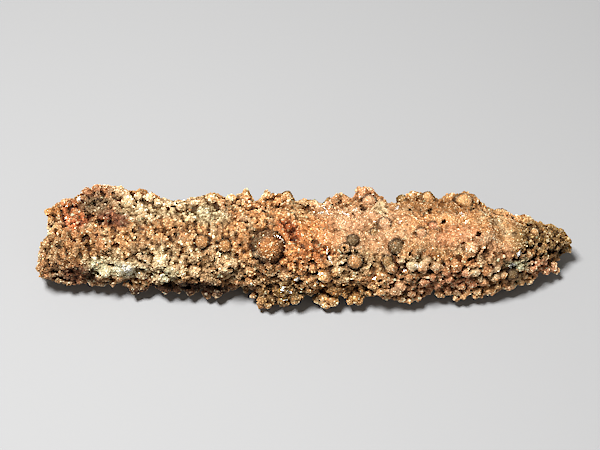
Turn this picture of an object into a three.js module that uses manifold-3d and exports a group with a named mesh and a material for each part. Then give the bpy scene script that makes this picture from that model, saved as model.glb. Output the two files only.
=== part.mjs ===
// A native copper pseudomorph: copper that has taken the place of a long pointed stick, as one
// knobbly mass. A blunt end with a raised lobe lies on the left and the point on the right.
// Millimetres. +X runs along the specimen towards its point, +Y away from the viewer and +Z up,
// with the origin on the resting plane, under the middle of the bounding box.
import * as THREE from "three";
import { mergeVertices } from "three/addons/utils/BufferGeometryUtils.js";
import Module from "manifold-3d";

// Driving dimensions
const SIGHT_ANGLE = THREE.MathUtils.degToRad(50);  // how steeply a viewer looks down on the specimen
const FLATNESS = 0.8;  // the section's height over its width
const SQUARENESS = 2.4;  // exponent of the section's superellipse, 2 being an ellipse
const FOOT = 3.2;  // room under the smooth section for the lumps that it rests on
const DROOP = 0.45;  // how far a thin end comes down to the resting plane, 0 being not at all
const RINGS = 86;
const SIDES = 42;
const SWELL = { height: 1.5, reach: 11, apart: 13 };  // the broad lumps
const LUMP = { height: 3, reach: 3.3, apart: 4.5 };  // the small lumps that cover them
const COPPER = { color: 0x9a5f3c, roughness: 0.55, metalness: 0.6 };

// What the viewer sees of the smooth body: [x, upper edge, lower edge], the edges measured square to
// the line of sight from the level of the body's middle.
const OUTLINE = [
  [-103.8, -5, -5],
  [-103.2, -2, -8.5],
  [-102, 1.5, -10.4],
  [-101, 7.5, -11.2],
  [-99.6, 11.6, -11.8],
  [-96, 13.6, -12],
  [-89.5, 16.4, -12.2],
  [-83, 19, -12.4],
  [-76, 19, -12.6],
  [-69, 16.6, -13.2],
  [-60, 15.4, -13.4],
  [-50, 14.4, -14.2],
  [-36, 14.6, -15.4],
  [-26, 15.4, -14.8],
  [-19, 14.8, -16.8],
  [-8, 15, -18.2],
  [3, 13.8, -16.8],
  [12, 13.8, -17.6],
  [26, 15.4, -17],
  [34.5, 13.8, -17.6],
  [41, 15.2, -18.2],
  [50, 15.4, -17],
  [62, 16.2, -16.8],
  [69, 13, -16],
  [75.5, 9.2, -15.2],
  [84, 8.2, -12.8],
  [94, 5.4, -8.8],
  [100.5, 4, -4.4],
  [103, 3, -1],
  [103.6, 1, 1],
];

// Raised knobs, which have grown out of the body's surface: [x, level up the view, radius].
const RAISED_KNOBS = [
  [-99.8, 11, 3.4],
  [-95.8, 13.4, 3.8],
  [-89.5, 15.9, 3.8],
  [-83, 19.3, 4.2],
  [-77.4, 19.7, 4],
  [-71.5, 17.1, 3.6],
  [-65.8, 18, 3.8],
  [-60.5, 16, 3.4],
  [-54.2, 14.9, 3.6],
  [-43.8, 14.9, 3.6],
  [-36.6, 15.8, 4],
  [-31, 15.2, 3.6],
  [-27.4, 16.9, 3.4],
  [-23, 16.5, 3],
  [-13.8, 17.7, 4],
  [-7.4, 16.7, 3.8],
  [1, 14.5, 3.6],
  [13.4, 16.1, 3.6],
  [18.5, 14.9, 3],
  [23.6, 17.5, 4.8],
  [28, 16.3, 4],
  [43, 16.3, 4.2],
  [50.2, 16.7, 3.8],
  [57.5, 15.9, 3.8],
  [64, 16.3, 4.2],
  [69.5, 14.5, 3.6],
  [78.2, 10.7, 3.4],
  [86.6, 9.1, 3.4],
  [95.8, 6.6, 2.8],
  [-99, -12.2, 3.4],
  [-94, -12.6, 3.2],
  [-84.6, -12.8, 3.2],
  [-80.5, -13.2, 3.2],
  [-76.4, -12.8, 3.2],
  [-67, -15.4, 3.8],
  [-55.4, -15.2, 3.6],
  [-49.8, -15.8, 3.4],
  [-45, -16.4, 3.2],
  [-38.2, -17.4, 3.6],
  [-34, -17.4, 3.4],
  [-15.6, -21.2, 4.2],
  [-8.6, -20, 3.8],
  [-3.6, -19.2, 3.4],
  [9.6, -20.8, 4],
  [21, -20, 3.6],
  [33, -18, 3.2],
  [39.4, -19.4, 3.8],
  [43.6, -19.8, 3.4],
  [54.2, -17.2, 3.2],
  [61, -18.4, 3.6],
  [69, -17.4, 3.4],
  [75, -16.2, 3],
  [-16.5, -0.4, 5.4],
  [36.5, -0.4, 3.2],
  [20, 1.6, 2.8],
  [19.5, -7.2, 3.4],
  [34, -6.4, 3],
  [66.5, -1.2, 3.6],
  [8.5, -11.2, 3.2],
  [-28.5, -7.2, 3.4],
  [-87.5, 12, 3.4],
  [-57.5, -6.8, 4],
  [80, -4, 3.2],
];

// Knobs that stand free on a narrow neck, in groups of [x, level, radius].
const FREE_KNOBS = {
  spire: [[-23.2, 19.6, 2.1], [-23, 21.4, 1.6]],
  back_lumps: [[-13.2, 21, 1.9], [-84.5, 22, 2.2]],
  crown: [[22, 21, 2.4], [25.6, 21.2, 2.2]],
  feet: [[-16.6, -23.6, 2.3], [-8, -22.6, 2.3], [10.4, -23.2, 2.5], [20.6, -22.4, 2.1]],
};

// Pits between lumps: [x, level, radius, depth].
const PITS = [
  [-86, 11, 2.6, 3],
  [-77.5, 9, 3.4, 2.2],
  [-64, 16, 2.4, 2.5],
  [-8, 15, 2.4, 2.5],
  [23, 14.6, 2.4, 2.5],
  [51, 12.5, 2.4, 2],
  [92, -4.4, 2.6, 1.6],
  [96.5, -3.8, 2.8, 2.2],
  [101, -3.2, 2.8, 2.4],
];

// Ledges of beads along the lower right side, one above another: the ends' x, the levels up the view
// at the left end, the middle and the right end, and the beads' radius.
const LEDGES = [
  { from: 31, to: 81, levels: [-8.5, -8.4, -6.2], radius: 2.7 },
  { from: 36, to: 92, levels: [-12.8, -13, -9.4], radius: 2.6 },
  { from: 46, to: 95, levels: [-17, -17, -12.6], radius: 2.5 },
  { from: 84, to: 102.5, levels: [-8.2, -9.4, -9], radius: 2.8 },
];
const LEDGE_MARGIN = 4.4;  // no small lump stands nearer to a ledge than this
const BEAD_PITCH = 4.7;
const BEAD_NECK = 0.66;  // a ledge's radius between two beads over its radius at a bead
const LEDGE_TIP = 0.35;  // a ledge's radius at its two ends over its radius at a bead
const STRING_SIDES = 5;

// A repeatable series of numbers from 0 to 1.
function series(seed) {
  let state = seed;
  return () => {
    state = (state + 0x6d2b79f5) | 0;
    let mixed = Math.imul(state ^ (state >>> 15), 1 | state);
    mixed = (mixed + Math.imul(mixed ^ (mixed >>> 7), 61 | mixed)) ^ mixed;
    return ((mixed ^ (mixed >>> 14)) >>> 0) / 4294967296;
  };
}

// The upper and lower edges of the smooth body at x.
function edgesAt(x) {
  const next = OUTLINE.findIndex(([along]) => along > x);
  if (next <= 0) {
    const end = next < 0 ? OUTLINE.at(-1) : OUTLINE[0];
    return [end[1], end[2]];
  }
  const [before, after] = [OUTLINE[next - 1], OUTLINE[next]];
  const share = (x - before[0]) / (after[0] - before[0]);
  return [1, 2].map((edge) => THREE.MathUtils.lerp(before[edge], after[edge], share));
}

const SIN = Math.sin(SIGHT_ANGLE);
const COS = Math.cos(SIGHT_ANGLE);
const VIEW_UP = new THREE.Vector3(0, SIN, COS);

// A superellipse's reach across the line of sight, for a half width of 1.
const DUAL = SQUARENESS / (SQUARENESS - 1);
const REACH = (SIN ** DUAL + (FLATNESS * COS) ** DUAL) ** (1 / DUAL);
const WIDEST = Math.max(...OUTLINE.map(([, top, bottom]) => (top - bottom) / 2)) / REACH;
const MIDDLE_LEVEL = (FLATNESS * WIDEST + FOOT) * COS;

// The section at x: its centre and its half width and half height.
function sectionAt(x) {
  const [top, bottom] = edgesAt(x);
  const width = (top - bottom) / 2 / REACH;
  const height = FLATNESS * width;
  const z = FOOT + height + (1 - DROOP) * (FLATNESS * WIDEST - height);
  const y = (MIDDLE_LEVEL + (top + bottom) / 2 - z * COS) / SIN;
  return { y, z, width, height };
}

// A point of the smooth body at x, at an angle from +Y in its superellipse's formula.
function bodyPoint(x, angle) {
  const { y, z, width, height } = sectionAt(x);
  const round = (value) => Math.sign(value) * Math.abs(value) ** (2 / SQUARENESS);
  return new THREE.Vector3(x, y + width * round(Math.cos(angle)), z + height * round(Math.sin(angle)));
}

const levelOf = (point) => point.dot(VIEW_UP) - MIDDLE_LEVEL;

// The point of the body that the viewer sees at x and a level, or one off its edge past its outline.
function seenPoint(x, level) {
  const turn = 2 * Math.PI;
  const angles = Array.from({ length: 180 }, (_, i) => (i / 180) * turn);
  const levels = angles.map((angle) => levelOf(bodyPoint(x, angle)));
  let upper = angles[levels.indexOf(Math.max(...levels))];
  let lower = angles[levels.indexOf(Math.min(...levels))];
  const [top, bottom] = [Math.max(...levels), Math.min(...levels)];
  if (level >= top) return bodyPoint(x, upper).addScaledVector(VIEW_UP, level - top);
  if (level <= bottom) return bodyPoint(x, lower).addScaledVector(VIEW_UP, level - bottom);
  for (let halving = 0; halving < 16; halving += 1) {
    const middle = (upper + lower) / 2;
    if (levelOf(bodyPoint(x, middle)) > level) upper = middle;
    else lower = middle;
  }
  return bodyPoint(x, (upper + lower) / 2);
}

// How far along its outward direction a point rises to come out on the far side of a ball.
function riseThrough({ centre, radius }, point, outward) {
  const toCentre = centre.clone().sub(point);
  const along = toCentre.dot(outward);
  const room = along ** 2 + radius ** 2 - toCentre.lengthSq();
  return room > 0 ? along + Math.sqrt(room) : 0;
}

// A dome's height at a distance from its centre.
function dome(distance, reach, height) {
  const share = distance / reach;
  return share < 1 ? height * Math.sqrt(1 - share * share) : 0;
}

// Domes scattered over the points, no two centres nearer than `apart`.
function scatter(points, { height, reach, apart }, random) {
  const order = points.map((_, i) => [random(), i]).sort((a, b) => a[0] - b[0]);
  const domes = [];
  for (const [, i] of order) {
    if (domes.every(({ at }) => at.distanceTo(points[i]) > apart)) {
      const size = 0.7 + 0.6 * random();
      domes.push({ at: points[i], reach: reach * size, height: height * size });
    }
  }
  return domes;
}

const riseUnder = (domes, point) =>
  Math.max(0, ...domes.map(({ at, reach, height }) => dome(at.distanceTo(point), reach, height)));

// The smooth body: rings of evenly spaced points, every other ring turned half a step, and its two poles.
function smoothGeometry() {
  const profile = new THREE.Path(OUTLINE.map(([x, top, bottom]) => new THREE.Vector2(x, (top - bottom) / 2)));
  const stations = profile.getSpacedPoints(RINGS + 1).slice(1, -1);
  const points = stations.flatMap(({ x }, ring) => {
    const section = Array.from({ length: 2 * SIDES }, (_, corner) => bodyPoint(x, (corner / SIDES) * Math.PI));
    const loop = new THREE.CatmullRomCurve3(section, true);
    const turn = ring % 2 ? 0.5 : 0;
    return Array.from({ length: SIDES }, (_, side) => loop.getPointAt((side + turn) / SIDES));
  });
  const poles = [OUTLINE[0], OUTLINE.at(-1)].map(([x]) => bodyPoint(x, 0));
  const indices = [];
  const at = (ring, side) => ring * SIDES + ((side + SIDES) % SIDES);
  for (let ring = 0; ring + 1 < RINGS; ring += 1) {
    const shift = ring % 2;
    for (let side = 0; side < SIDES; side += 1) {
      const [a, b] = [at(ring, side), at(ring, side + 1)];
      const [c, d] = [at(ring + 1, side + shift), at(ring + 1, side + shift - 1)];
      indices.push(a, c, d, a, b, c);
    }
  }
  for (let side = 0; side < SIDES; side += 1) {
    indices.push(points.length, at(0, side + 1), at(0, side));
    indices.push(points.length + 1, at(RINGS - 1, side), at(RINGS - 1, side + 1));
  }
  const geometry = new THREE.BufferGeometry().setFromPoints([...points, ...poles]).setIndex(indices);
  geometry.computeVertexNormals();
  return geometry;
}

// The points along the middle of a ledge, two for each of its beads.
function ledgeLine({ from, to, levels }) {
  const steps = 2 * Math.round((to - from) / BEAD_PITCH);
  const [first, middle, last] = levels;
  const bend = 2 * middle - (first + last) / 2;
  return Array.from({ length: steps + 1 }, (_, step) => {
    const share = step / steps;
    const level = (1 - share) ** 2 * first + 2 * share * (1 - share) * bend + share ** 2 * last;
    return seenPoint(THREE.MathUtils.lerp(from, to, share), level);
  });
}

// The lumpy body: the smooth one with swells, lumps and knobs raised on it and pits sunk.
function bodyGeometry() {
  const geometry = smoothGeometry();
  const { position, normal } = geometry.attributes;
  const pointAt = (attribute, i) => new THREE.Vector3().fromBufferAttribute(attribute, i);
  const points = Array.from({ length: position.count }, (_, i) => pointAt(position, i));
  const random = series(7);
  const swells = scatter(points, SWELL, random);
  const ledges = LEDGES.flatMap(ledgeLine);
  const lumps = scatter(points, LUMP, random)
    .filter(({ at }) => ledges.every((point) => point.distanceTo(at) > LEDGE_MARGIN));
  const knobs = RAISED_KNOBS.map(([x, level, radius]) => ({ centre: seenPoint(x, level), radius }));
  const pits = PITS.map(([x, level, reach, height]) => ({ at: seenPoint(x, level), reach, height }));
  points.forEach((point, i) => {
    const outward = pointAt(normal, i);
    const knob = Math.max(...knobs.map((ball) => riseThrough(ball, point, outward)));
    const rise = riseUnder(swells, point) + Math.max(riseUnder(lumps, point), knob) - riseUnder(pits, point);
    position.setXYZ(i, ...point.clone().addScaledVector(outward, rise));
  });
  return geometry;
}

// A free knob: a slightly flattened low-poly ball, turned at random.
function knobGeometry(centre, radius, random) {
  const turn = new THREE.Euler(...Array.from({ length: 3 }, () => 2 * Math.PI * random()));
  return new THREE.IcosahedronGeometry(radius, 1)
    .scale(1, 0.9 + 0.2 * random(), 0.85 + 0.2 * random())
    .applyMatrix4(new THREE.Matrix4().makeRotationFromEuler(turn))
    .translate(centre.x, centre.y, centre.z);
}

// A ledge: a string of beads grown together, along a line that the viewer sees on the body.
function ledgeGeometry(ledge) {
  const line = ledgeLine(ledge);
  const points = [];
  const indices = [];
  line.forEach((centre, step) => {
    const isEnd = step === 0 || step === line.length - 1;
    const neck = isEnd ? LEDGE_TIP : BEAD_NECK;
    const bead = ledge.radius * (step % 2 ? 1 : neck);
    for (let side = 0; side < STRING_SIDES; side += 1) {
      const angle = (side / STRING_SIDES) * 2 * Math.PI;
      points.push(centre.clone().add(new THREE.Vector3(0, bead * Math.cos(angle), bead * Math.sin(angle))));
      if (step + 1 < line.length) {
        const [a, b] = [side, (side + 1) % STRING_SIDES].map((corner) => step * STRING_SIDES + corner);
        indices.push(a, b, b + STRING_SIDES, a, b + STRING_SIDES, a + STRING_SIDES);
      }
    }
  });
  const end = points.length - STRING_SIDES;
  for (let side = 1; side + 1 < STRING_SIDES; side += 1) {
    indices.push(0, side + 1, side, end, end + side, end + side + 1);
  }
  return new THREE.BufferGeometry().setFromPoints(points).setIndex(indices);
}

const wasm = await Module();
wasm.setup();

function solidOf(geometry) {
  const bare = geometry.clone();
  bare.deleteAttribute("normal");
  bare.deleteAttribute("uv");
  const merged = mergeVertices(bare, 1e-4);
  return new wasm.Manifold(new wasm.Mesh({
    numProp: 3,
    vertProperties: merged.attributes.position.array,
    triVerts: new Uint32Array(merged.index.array),
  }));
}

function geometryOf(solid) {
  const { vertProperties, triVerts } = solid.getMesh();
  const geometry = new THREE.BufferGeometry();
  geometry.setAttribute("position", new THREE.BufferAttribute(vertProperties, 3));
  geometry.setIndex(new THREE.BufferAttribute(triVerts, 1));
  geometry.computeVertexNormals();
  return geometry;
}

// The whole specimen: the body with its free knobs and ledges, cut flat where it rests.
function copperSolid() {
  const random = series(23);
  const knobs = Object.values(FREE_KNOBS).flat()
    .map(([x, level, radius]) => knobGeometry(seenPoint(x, level), radius, random));
  const grown = [...knobs, ...LEDGES.map(ledgeGeometry)]
    .reduce((solid, geometry) => solid.add(solidOf(geometry)), solidOf(bodyGeometry()));
  const side = 4 * OUTLINE.at(-1)[0];
  const below = new THREE.BoxGeometry(side, side, side).translate(0, 0, -side / 2);
  return grown.subtract(solidOf(below));
}

const geometry = geometryOf(copperSolid());
geometry.computeBoundingBox();
const middle = geometry.boundingBox.getCenter(new THREE.Vector3());
geometry.translate(-middle.x, -middle.y, 0);

const specimen = new THREE.Group();
const copper = new THREE.Mesh(geometry, new THREE.MeshStandardMaterial(COPPER));
copper.name = "native_copper";
specimen.add(copper);

export default specimen;
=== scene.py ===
# A native copper pseudomorph: a long mass of copper knobs, each covered with grains of copper.
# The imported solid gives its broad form. This script covers that form with knobs, joins them into
# one crust, and grows grains on the crust. Metres. +X runs towards the point, +Z up.
import math
import bmesh
import bpy
import numpy as np
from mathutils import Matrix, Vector, kdtree, noise
from mathutils.bvhtree import BVHTree


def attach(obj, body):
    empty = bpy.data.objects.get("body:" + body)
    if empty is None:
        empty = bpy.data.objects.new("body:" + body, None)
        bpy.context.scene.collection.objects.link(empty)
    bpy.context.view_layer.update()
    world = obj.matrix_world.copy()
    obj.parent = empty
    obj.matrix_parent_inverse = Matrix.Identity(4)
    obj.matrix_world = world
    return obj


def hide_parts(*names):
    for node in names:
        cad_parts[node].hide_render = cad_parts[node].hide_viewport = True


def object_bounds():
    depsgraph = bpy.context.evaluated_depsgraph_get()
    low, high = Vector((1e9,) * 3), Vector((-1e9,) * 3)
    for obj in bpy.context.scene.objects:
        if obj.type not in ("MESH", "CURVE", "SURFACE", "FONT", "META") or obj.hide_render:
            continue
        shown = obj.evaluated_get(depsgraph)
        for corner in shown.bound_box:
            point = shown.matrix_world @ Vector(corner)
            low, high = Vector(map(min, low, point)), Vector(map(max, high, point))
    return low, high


MM = 0.001
SEED = 11

# View of the reference. Places on the specimen are given as the viewer sees them: x along it, and
# a level up the picture, both in millimetres in the plane through the specimen's middle.
SIGHT_ANGLE = math.radians(50)
LENS = 85.0
SENSOR = 36.0
PIXELS_ACROSS = 600
PIXEL = 0.4 * MM  # what one pixel spans in that plane
PICTURE_MIDDLE = (-3.5 * PIXEL, 20 * PIXEL)  # x and level in the middle of the picture
TOP_LEVEL = 24.8 * MM  # the specimen's highest and lowest level
BOTTOM_LEVEL = -26.4 * MM

# Crust
CORE_VOXEL = 1.1 * MM
CORE_SMOOTHING = {"factor": 0.5, "iterations": 10}
CORE_DEPTH = 1.7 * MM  # how far the core lies under the skin, which is the solid's smoothed surface
CRUST_VOXEL = 0.5 * MM
CRUST_PIECES = 3
CRUST_GAP = 0.05 * MM  # between the floor and the crust
BOX_MARGIN = 0.2 * MM  # how far knobs may pass the solid's box

# Knobs
KNOB_TRIES = 60000
KNOB_RADIUS = (0.75 * MM, 1.95 * MM)
KNOB_POWER = 0.8  # under 1, more knobs are small than large
KNOB_CROWDING = 0.9  # a knob's clear space around its centre, in radii
KNOB_CLEARING = 0.75  # clear space round a knob with a place of its own, in radii of both knobs
KNOB_TOP = (-0.9 * MM, 0.4 * MM)  # how far a knob's top stands above the skin
KNOB_DETAIL = 2  # subdivisions of the icosphere
LOBES = 12  # smaller balls on each knob
LOBE_RADIUS = (0.28, 0.48)  # in radii of the knob
LOBE_REACH = 0.74
ROUND_BODY = 0.97  # radius of the body of a knob with a place of its own, in radii of the knob
EDGE_BODY = 0.85  # and of a knob on the outline
PLAIN_BODY = 0.75  # and of any other knob
BEAD_SINK = 0.5  # how far the centre of a bead lies under the skin, in radii
LUMP_SINK = 0.7
EDGE_SINK = 0.5
SEAT_TRIES = 4  # tries at the place where a sunk ball is seen where it should be
EDGE_STEPS = 41  # steps in which skin is looked for from the outline towards level 0

# Spherules
LARGE_SPHERULE = 5 * MM  # a spherule over this radius is large
SPHERULE_SINK = 0.5  # how far a spherule's centre lies under the skin, in radii
LARGE_SINK = 0.78
SPHERULE_CLEARING = 0.35  # how far other knobs keep off a spherule, in their own radii
SPHERULE_DETAIL = 4
SPHERULE_TINT = 0.85  # how strongly a spherule is tinted
RIM_SHADE = 0.2  # light left at a spherule's rim, as painted shade
HIDDEN_TRIES = 400  # hidden spherules are those on the side that the reference doesn't show
HIDDEN_SPACING = 14 * MM
HIDDEN_HEIGHT = 8 * MM
HIDDEN_FACING = -0.2  # how far at most they turn to the viewer, as a cosine
HIDDEN_TILT = -0.3  # and how far at least upwards
HIDDEN_RADIUS = (1.8, 3.4)  # in millimetres, as in the tables
HIDDEN_COLOURS = ["bronze", "ochre", "olive", "tan"]

# Light and shade that the tints carry
CREVICE_DEPTH = 2.0 * MM  # how deep under the skin a crevice is fully dark
CREVICE_SHADE = 0.1  # light left in a crevice
OPEN_RISE = 0.6 * MM  # how high above the skin nothing is dark
PIT_ROUNDS = 5  # rounds of smoothing that tell pits from bumps
PIT_DEPTH = 0.26 * MM  # how far a pit lies under its surroundings where it is fully dark
BUMP_RISE = 0.3 * PIT_DEPTH  # how far a bump stands out where it is fully light
CRUST_SHADE = 0.6  # painted shade: the share of light the crust keeps between the grains
SHADE_TINT = (1, 1.17, 1.42)  # powers that turn a shade into red, green and blue: shadows are brown
HOLLOW_DEPTH = 2.2 * MM
HOLLOW_NOISE = 2.2 * MM  # size of the raggedness of hollows
HOLLOW_WANDER = 1.4  # and its reach in millimetres
PATCH_NOISE = 9 * MM  # the same for patches of colour
PATCH_WANDER = 3.0
NOISE_SHIFTS = (7.3, 3.1, 5.7)  # how far the noise moves from one seed to the next

# Soft edges, each from where it starts to where it ends. Facing is the cosine of the angle
# between a surface's normal and the viewer, and an ellipse's edge is at 1.
ZONE_FACING = (-0.3, 0.3)
ZONE_EDGE = (0.6, 1.4)
HOLLOW_FACING = (-0.5, 0)
HOLLOW_EDGE = (0.5, 1.3)  # in reaches of the hollow
PATCH_FACING = (-0.4, 0.2)
PATCH_EDGE = (0.3, 1.5)
MOTTLE_EDGE = (0, 0.5)  # of the noise
SPHERULE_EDGE = (0.2 * MM, 0.9 * MM)  # outside the spherule
RIM_EDGE = (-0.1, 0.2)  # about where the spherule meets the skin
TRIM_EDGE = (0.2, 1)  # in reaches of the trim
UNDER_FACING = (0.2, 0.8)  # as the cosine with straight down

# Grains
GRAIN_TRIES = 400000
GRAIN_RADIUS = (0.28 * MM, 0.78 * MM)
GRAIN_SPREAD = (1.1, 2.6)  # shape of the radii's beta distribution: most grains are small
ROUND_GRAIN = 0.5 * MM  # grains over this radius have 20 faces, smaller ones are crystals with 8
GRAIN_CROWDING = 1.22  # a grain's clear space, in radii
GRAIN_SINK = 0.2  # share of its radius by which a grain's centre is sunk in the crust
GRAIN_GAP = 0.02 * MM  # between the floor and the grains
GRAIN_RAGGED = 0.16  # spread of the reach of a grain's corners
GRAIN_STRETCH = (0.7, 1.3)
GRAIN_SHADE = 0.11  # the least shade at which grains grow
GRAIN_PIECES = 5
SPARSE_HEIGHT = (2 * MM, 7 * MM)  # where the underside's grains thin out towards the floor

# Where the grains are finest
BALL_MARGIN = 0.3 * MM  # how far round a spherule or bead its own fineness reaches
LARGE_FINENESS = 0.2  # fineness on a large spherule
BEAD_FINENESS = 0.7  # and on a bead
FINE_SHRINK = 0.25  # how much smaller and closer the finest grains are
FINE_SINK = 0.15  # how much deeper they sit, in radii
FINE_LIGHT = 0.35  # how much lighter the painted shade of pits and crevices is
FINE_KNOBS = 0.35  # how much smaller knobs are
FINE_LEVEL = 0.6  # how much nearer the skin their tops are

# Light of the grains. A grain's lighter tip and darker base are painted light and shade
LIGHT_SPREAD = 0.28  # spread of the light from grain to grain, as the logarithm's deviation
LIGHT_LIMITS = (0.35, 1.6)
MIDDLE_LIGHT = 0.78  # light of a grain's middle
TIP_LIGHT = 0.35  # how much lighter its outer tip is and darker its base: painted light and shade
TIP_LIMITS = (0.3, 1.15)
# above full light, as the flecks are partly painted highlights
FLECK_AND_GLINT_LIGHT = 1.2
LIGHTEST = 0.95
PALE = 0.55  # how light the copper is where a grain's own colour shows fully
LEAST_SHOWN = 0.3  # and how much of that colour shows at least

# Finish. A noise is given as the size of its features, its least and its greatest value.
SPECULAR = 0.2
TINT_NOISE = (0.9 * MM, 0.8, 1.15)
ROUGHNESS_NOISE = (1.6 * MM, 0.35, 0.7)
METALLIC_NOISE = (2.1 * MM, 0, 0.4)
BUMP_NOISE = (0.35 * MM, 0, 1)
BUMP_STRENGTH = 0.6
BUMP_HEIGHT = 0.12 * MM
NOISE_DETAIL = 3
NOISE_SPAN = (0.35, 0.65)  # the values that the noise texture mostly keeps to

# Floor and light
FLOOR_HALF = 3  # half the floor's side in metres
FLOOR_COLOUR = (0.3, 0.301, 0.304, 1)
FLOOR_ROUGHNESS = 0.9
LIGHTS = [  # name, place, side in metres, power in watts
    ("key", (-0.24, -0.14, 0.9), 0.22, 19),
    ("fill", (0.4, -0.8, 0.5), 0.6, 0.8),
]
WORLD_COLOUR = (1, 0.94, 0.86, 1)
WORLD_STRENGTH = 0.22
SHARPENING = 0.17

# Colours as they look on a screen, from 0 to 255
COLOURS = {
    "tan": (230, 180, 126),
    "sand": (236, 204, 160),
    "pink": (230, 180, 140),
    "salmon": (230, 160, 122),
    "orange": (236, 162, 100),
    "rust": (190, 98, 56),
    "wine": (122, 56, 40),
    "ochre": (188, 138, 76),
    "bronze": (178, 126, 74),
    "sienna": (172, 114, 64),
    "olive": (150, 118, 72),
    "slate": (134, 112, 84),
    "dusk": (88, 74, 46),
    "cream": (250, 234, 194),
    "mint": (208, 230, 198),
    "white": (252, 250, 226),
    "umber": (120, 78, 48),
    # painted shade for the underside, not a colour of the copper itself
    "under_shade": (74, 48, 30),
}

# Patches of colour: [x, level, half length, half height, colour, strength]
PATCHES = [
    (-93, 13, 10, 6, "rust", 0.7),
    (-76, 11, 6, 5, "wine", 0.8),
    (-84, 15, 7, 6, "umber", 0.3),
    (-83, 16, 4, 3, "slate", 0.6),
    (-83, 22, 10, 4, "salmon", 0.4),
    (-97, -11, 13, 6, "umber", 0.6),
    (-96, -4, 8, 5, "slate", 0.35),
    (-88, -13, 8, 4, "wine", 0.5),
    (-75, -9, 12, 4.5, "cream", 1),
    (-71, -9.2, 4, 2.6, "white", 0.9),
    (-57, -7, 9, 8, "cream", 0.7),
    (-54, -12, 4, 3, "mint", 0.5),
    (-75, -10, 4, 3, "mint", 0.2),
    (-71.5, 17, 4, 5, "cream", 0.4),
    (-82, -9, 4, 3, "mint", 0.4),
    (-90, 9.4, 5, 2.6, "rust", 0.6),
    (-101, 12.6, 4, 5, "ochre", 0.6),
    (-103, 2, 4, 7, "slate", 0.35),
    (-91, -1, 12, 7, "bronze", 0.4),
    (-91, -14, 4, 2.5, "salmon", 0.5),
    # painted shade along the lower left edge
    (-88, -16.4, 15, 3, "under_shade", 0.45),
    (-62, 14.5, 12, 5, "cream", 0.7),
    (-41, 14, 9, 5, "cream", 0.65),
    (-37, 12, 9, 4, "mint", 0.3),
    (-31, -4.5, 4, 3, "mint", 0.3),
    (0, 0, 16, 12, "orange", 0.9),
    (-5, 6, 5, 4, "rust", 0.8),
    (4, -3, 8, 5, "rust", 0.3),
    (-12, 17, 8, 6, "orange", 0.35),
    (22, 16, 18, 8, "pink", 0.8),
    (24, 19, 16, 5, "bronze", 0.65),
    (25, 22, 8, 5, "salmon", 0.4),
    (27, 4, 20, 9, "pink", 0.6),
    (-38, -10.4, 14, 4, "sand", 0.5),
    (56, 8, 18, 7, "orange", 0.45),
    (62, 3, 12, 5, "salmon", 0.45),
    (52, 19, 14, 4, "tan", 0.6),
    (-8, -20, 13, 6, "olive", 0.9),
    (16, -20, 11, 6, "ochre", 0.75),
    (20, -9, 14, 5, "ochre", 0.45),
    (19, -8, 10, 5, "sand", 0.9),
    (52, -14, 26, 7, "umber", 0.3),
    (58, -12, 24, 7, "rust", 0.2),
    (84, -8, 10, 4, "slate", 0.5),
    (85.6, -8.8, 5, 2.2, "mint", 0.5),
    (68, -11, 4, 2, "cream", 0.6),
    (50, -8, 6, 2, "cream", 0.3),
    (43.6, -1, 4, 2, "bronze", 0.5),
    (51.8, -5.4, 2, 1.6, "orange", 0.7),
    (31, 15, 3, 2.5, "cream", 0.7),
    (41, -18, 8, 5, "pink", 0.5),
    (58, -15, 13, 4, "salmon", 0.5),
    (77.6, -12, 4, 2.5, "cream", 0.5),
    (44, -7, 5, 2.5, "cream", 0.6),
    (97, 4, 14, 9, "olive", 0.95),
    (96, -9.5, 7, 3.5, "salmon", 0.7),
    # painted shade along the underside
    (-50, -18.5, 32, 4, "under_shade", 1),
    (-84, 20, 12, 5, "umber", 0.5),
    (-75, 19.5, 5, 4, "cream", 0.2),
    (-83.8, 15.6, 6, 4, "slate", 0.8),
    (48, 17, 9, 4, "umber", 0.55),
    (64, 17, 12, 5, "umber", 0.4),
    (54, 18, 20, 5, "bronze", 0.8),
    (-38, -9, 16, 4.5, "sand", 0.7),
    (72, -1, 12, 5, "pink", 0.6),
]

# Mottling all over: (colour, size of its features, strength)
MOTTLING = [
    ("orange", 14, 0.4),
    ("cream", 4.5, 0.5),
    ("umber", 6, 0.35),
    ("rust", 6, 0.3),
    ("slate", 6, 0.25),
]

# Grains that differ from the copper round them: (colour, odds, more odds where fine, strength)
GRAIN_COLOURS = [
    ("cream", 0.25, 0.12, 0.6),
    ("umber", 0.1, 0, 0.7),
    ("orange", 0.08, 0, 0.6),
    ("mint", 0.03, 0, 0.7),
]

# Where the grains are fine, like sugar: [x, level, half length, half height]
FINE_ZONES = [
    (38, 7, 38, 12),
    (80, 5, 9, 7),
    (-75, -9.4, 8, 3),
]
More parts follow.
